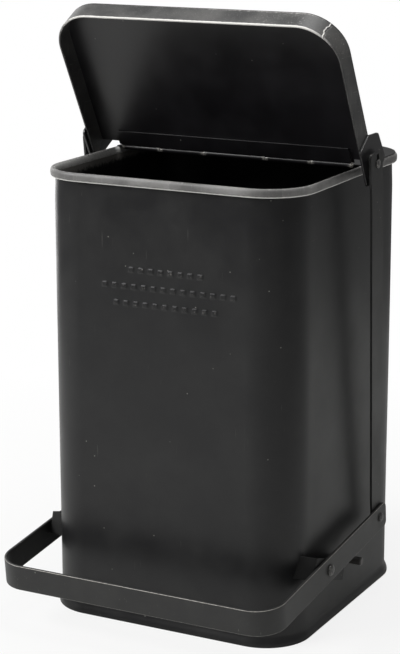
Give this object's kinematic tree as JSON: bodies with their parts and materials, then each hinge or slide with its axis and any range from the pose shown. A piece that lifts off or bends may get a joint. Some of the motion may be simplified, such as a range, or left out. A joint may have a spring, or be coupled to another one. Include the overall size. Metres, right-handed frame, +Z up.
{
  "type": "pedal trash can",
  "caption": "Upright rounded-square steel pedal trash can with a hinged front half lid, a wraparound pedal bar and a lift rod up each side.",
  "frame": {"origin": "centre of the object's bounding box in X and Y, at floor level", "axes": "+Z up, +Y towards the back of the can, -Y towards the pedal, +X to the object's right seen from its front"},
  "size_m": [0.31, 0.3372, 0.5793],
  "materials": {
    "casing_lacquer": "black semi-gloss lacquer, scuffed",
    "trim_lacquer": "lacquer worn to grey along the edge",
    "lid_lacquer": "black semi-gloss lacquer",
    "band_lacquer": "grey lacquer worn at the edges",
    "pedal_lacquer": "black lacquer, worn",
    "rod_lacquer": "black lacquer",
    "hinge_steel": "dull plated steel",
    "rivet_steel": "dark steel"
  },
  "bodies": {
    "casing": {"casing_shell": "casing_lacquer", "rim_bead": "trim_lacquer", "foot_bead": "casing_lacquer", "base_plate": "casing_lacquer", "rear_top_plate": "casing_lacquer", "hinge_leaf_casing": "hinge_steel", "hinge_pin": "hinge_steel", "pivot_bracket_right": "rod_lacquer", "bracket_rivet_right": "rivet_steel", "pivot_rivet_right": "rivet_steel", "stop_stud_right": "rivet_steel", "pivot_bracket_left": "rod_lacquer", "bracket_rivet_left": "rivet_steel", "pivot_rivet_left": "rivet_steel", "stop_stud_left": "rivet_steel"},
    "lid": {"lid_panel": "lid_lacquer", "lid_band": "band_lacquer", "hinge_leaf_lid": "hinge_steel", "lid_lug_right": "lid_lacquer", "lid_lug_left": "lid_lacquer", "crank_pin_right": "rivet_steel", "crank_pin_left": "rivet_steel"},
    "pedal": {"pedal_band": "pedal_lacquer", "rod_rivet_right": "rivet_steel", "rod_rivet_left": "rivet_steel"},
    "rod_right": {"lift_rod_right": "rod_lacquer"},
    "rod_left": {"lift_rod_left": "rod_lacquer"}
  },
  "joints": [
    {"name": "lid_hinge", "type": "hinge", "parent": "casing", "child": "lid", "pos_m": [0, 0.04726, 0.432], "axis": [-1, 0, 0], "range_deg": [-61.7, 0]},
    {"name": "pedal_pivot", "type": "hinge", "parent": "casing", "child": "pedal", "pos_m": [0, -0.04394, 0.0652], "axis": [1, 0, 0], "range_deg": [-6.05, 0]},
    {"name": "rod_right_pivot", "type": "hinge", "parent": "pedal", "child": "rod_right", "pos_m": [0.142, 0.07644, 0.07937], "axis": [1, 0, 0], "range_deg": [0, 6.05]},
    {"name": "rod_left_pivot", "type": "hinge", "parent": "pedal", "child": "rod_left", "pos_m": [-0.142, 0.07644, 0.07937], "axis": [1, 0, 0], "range_deg": [0, 6.05]}
  ],
  "couplings": [
    {"joint": "pedal_pivot", "follows": "lid_hinge", "ratio": 0.09806},
    {"joint": "rod_right_pivot", "follows": "lid_hinge", "ratio": -0.09806},
    {"joint": "rod_left_pivot", "follows": "lid_hinge", "ratio": -0.09806}
  ]
}
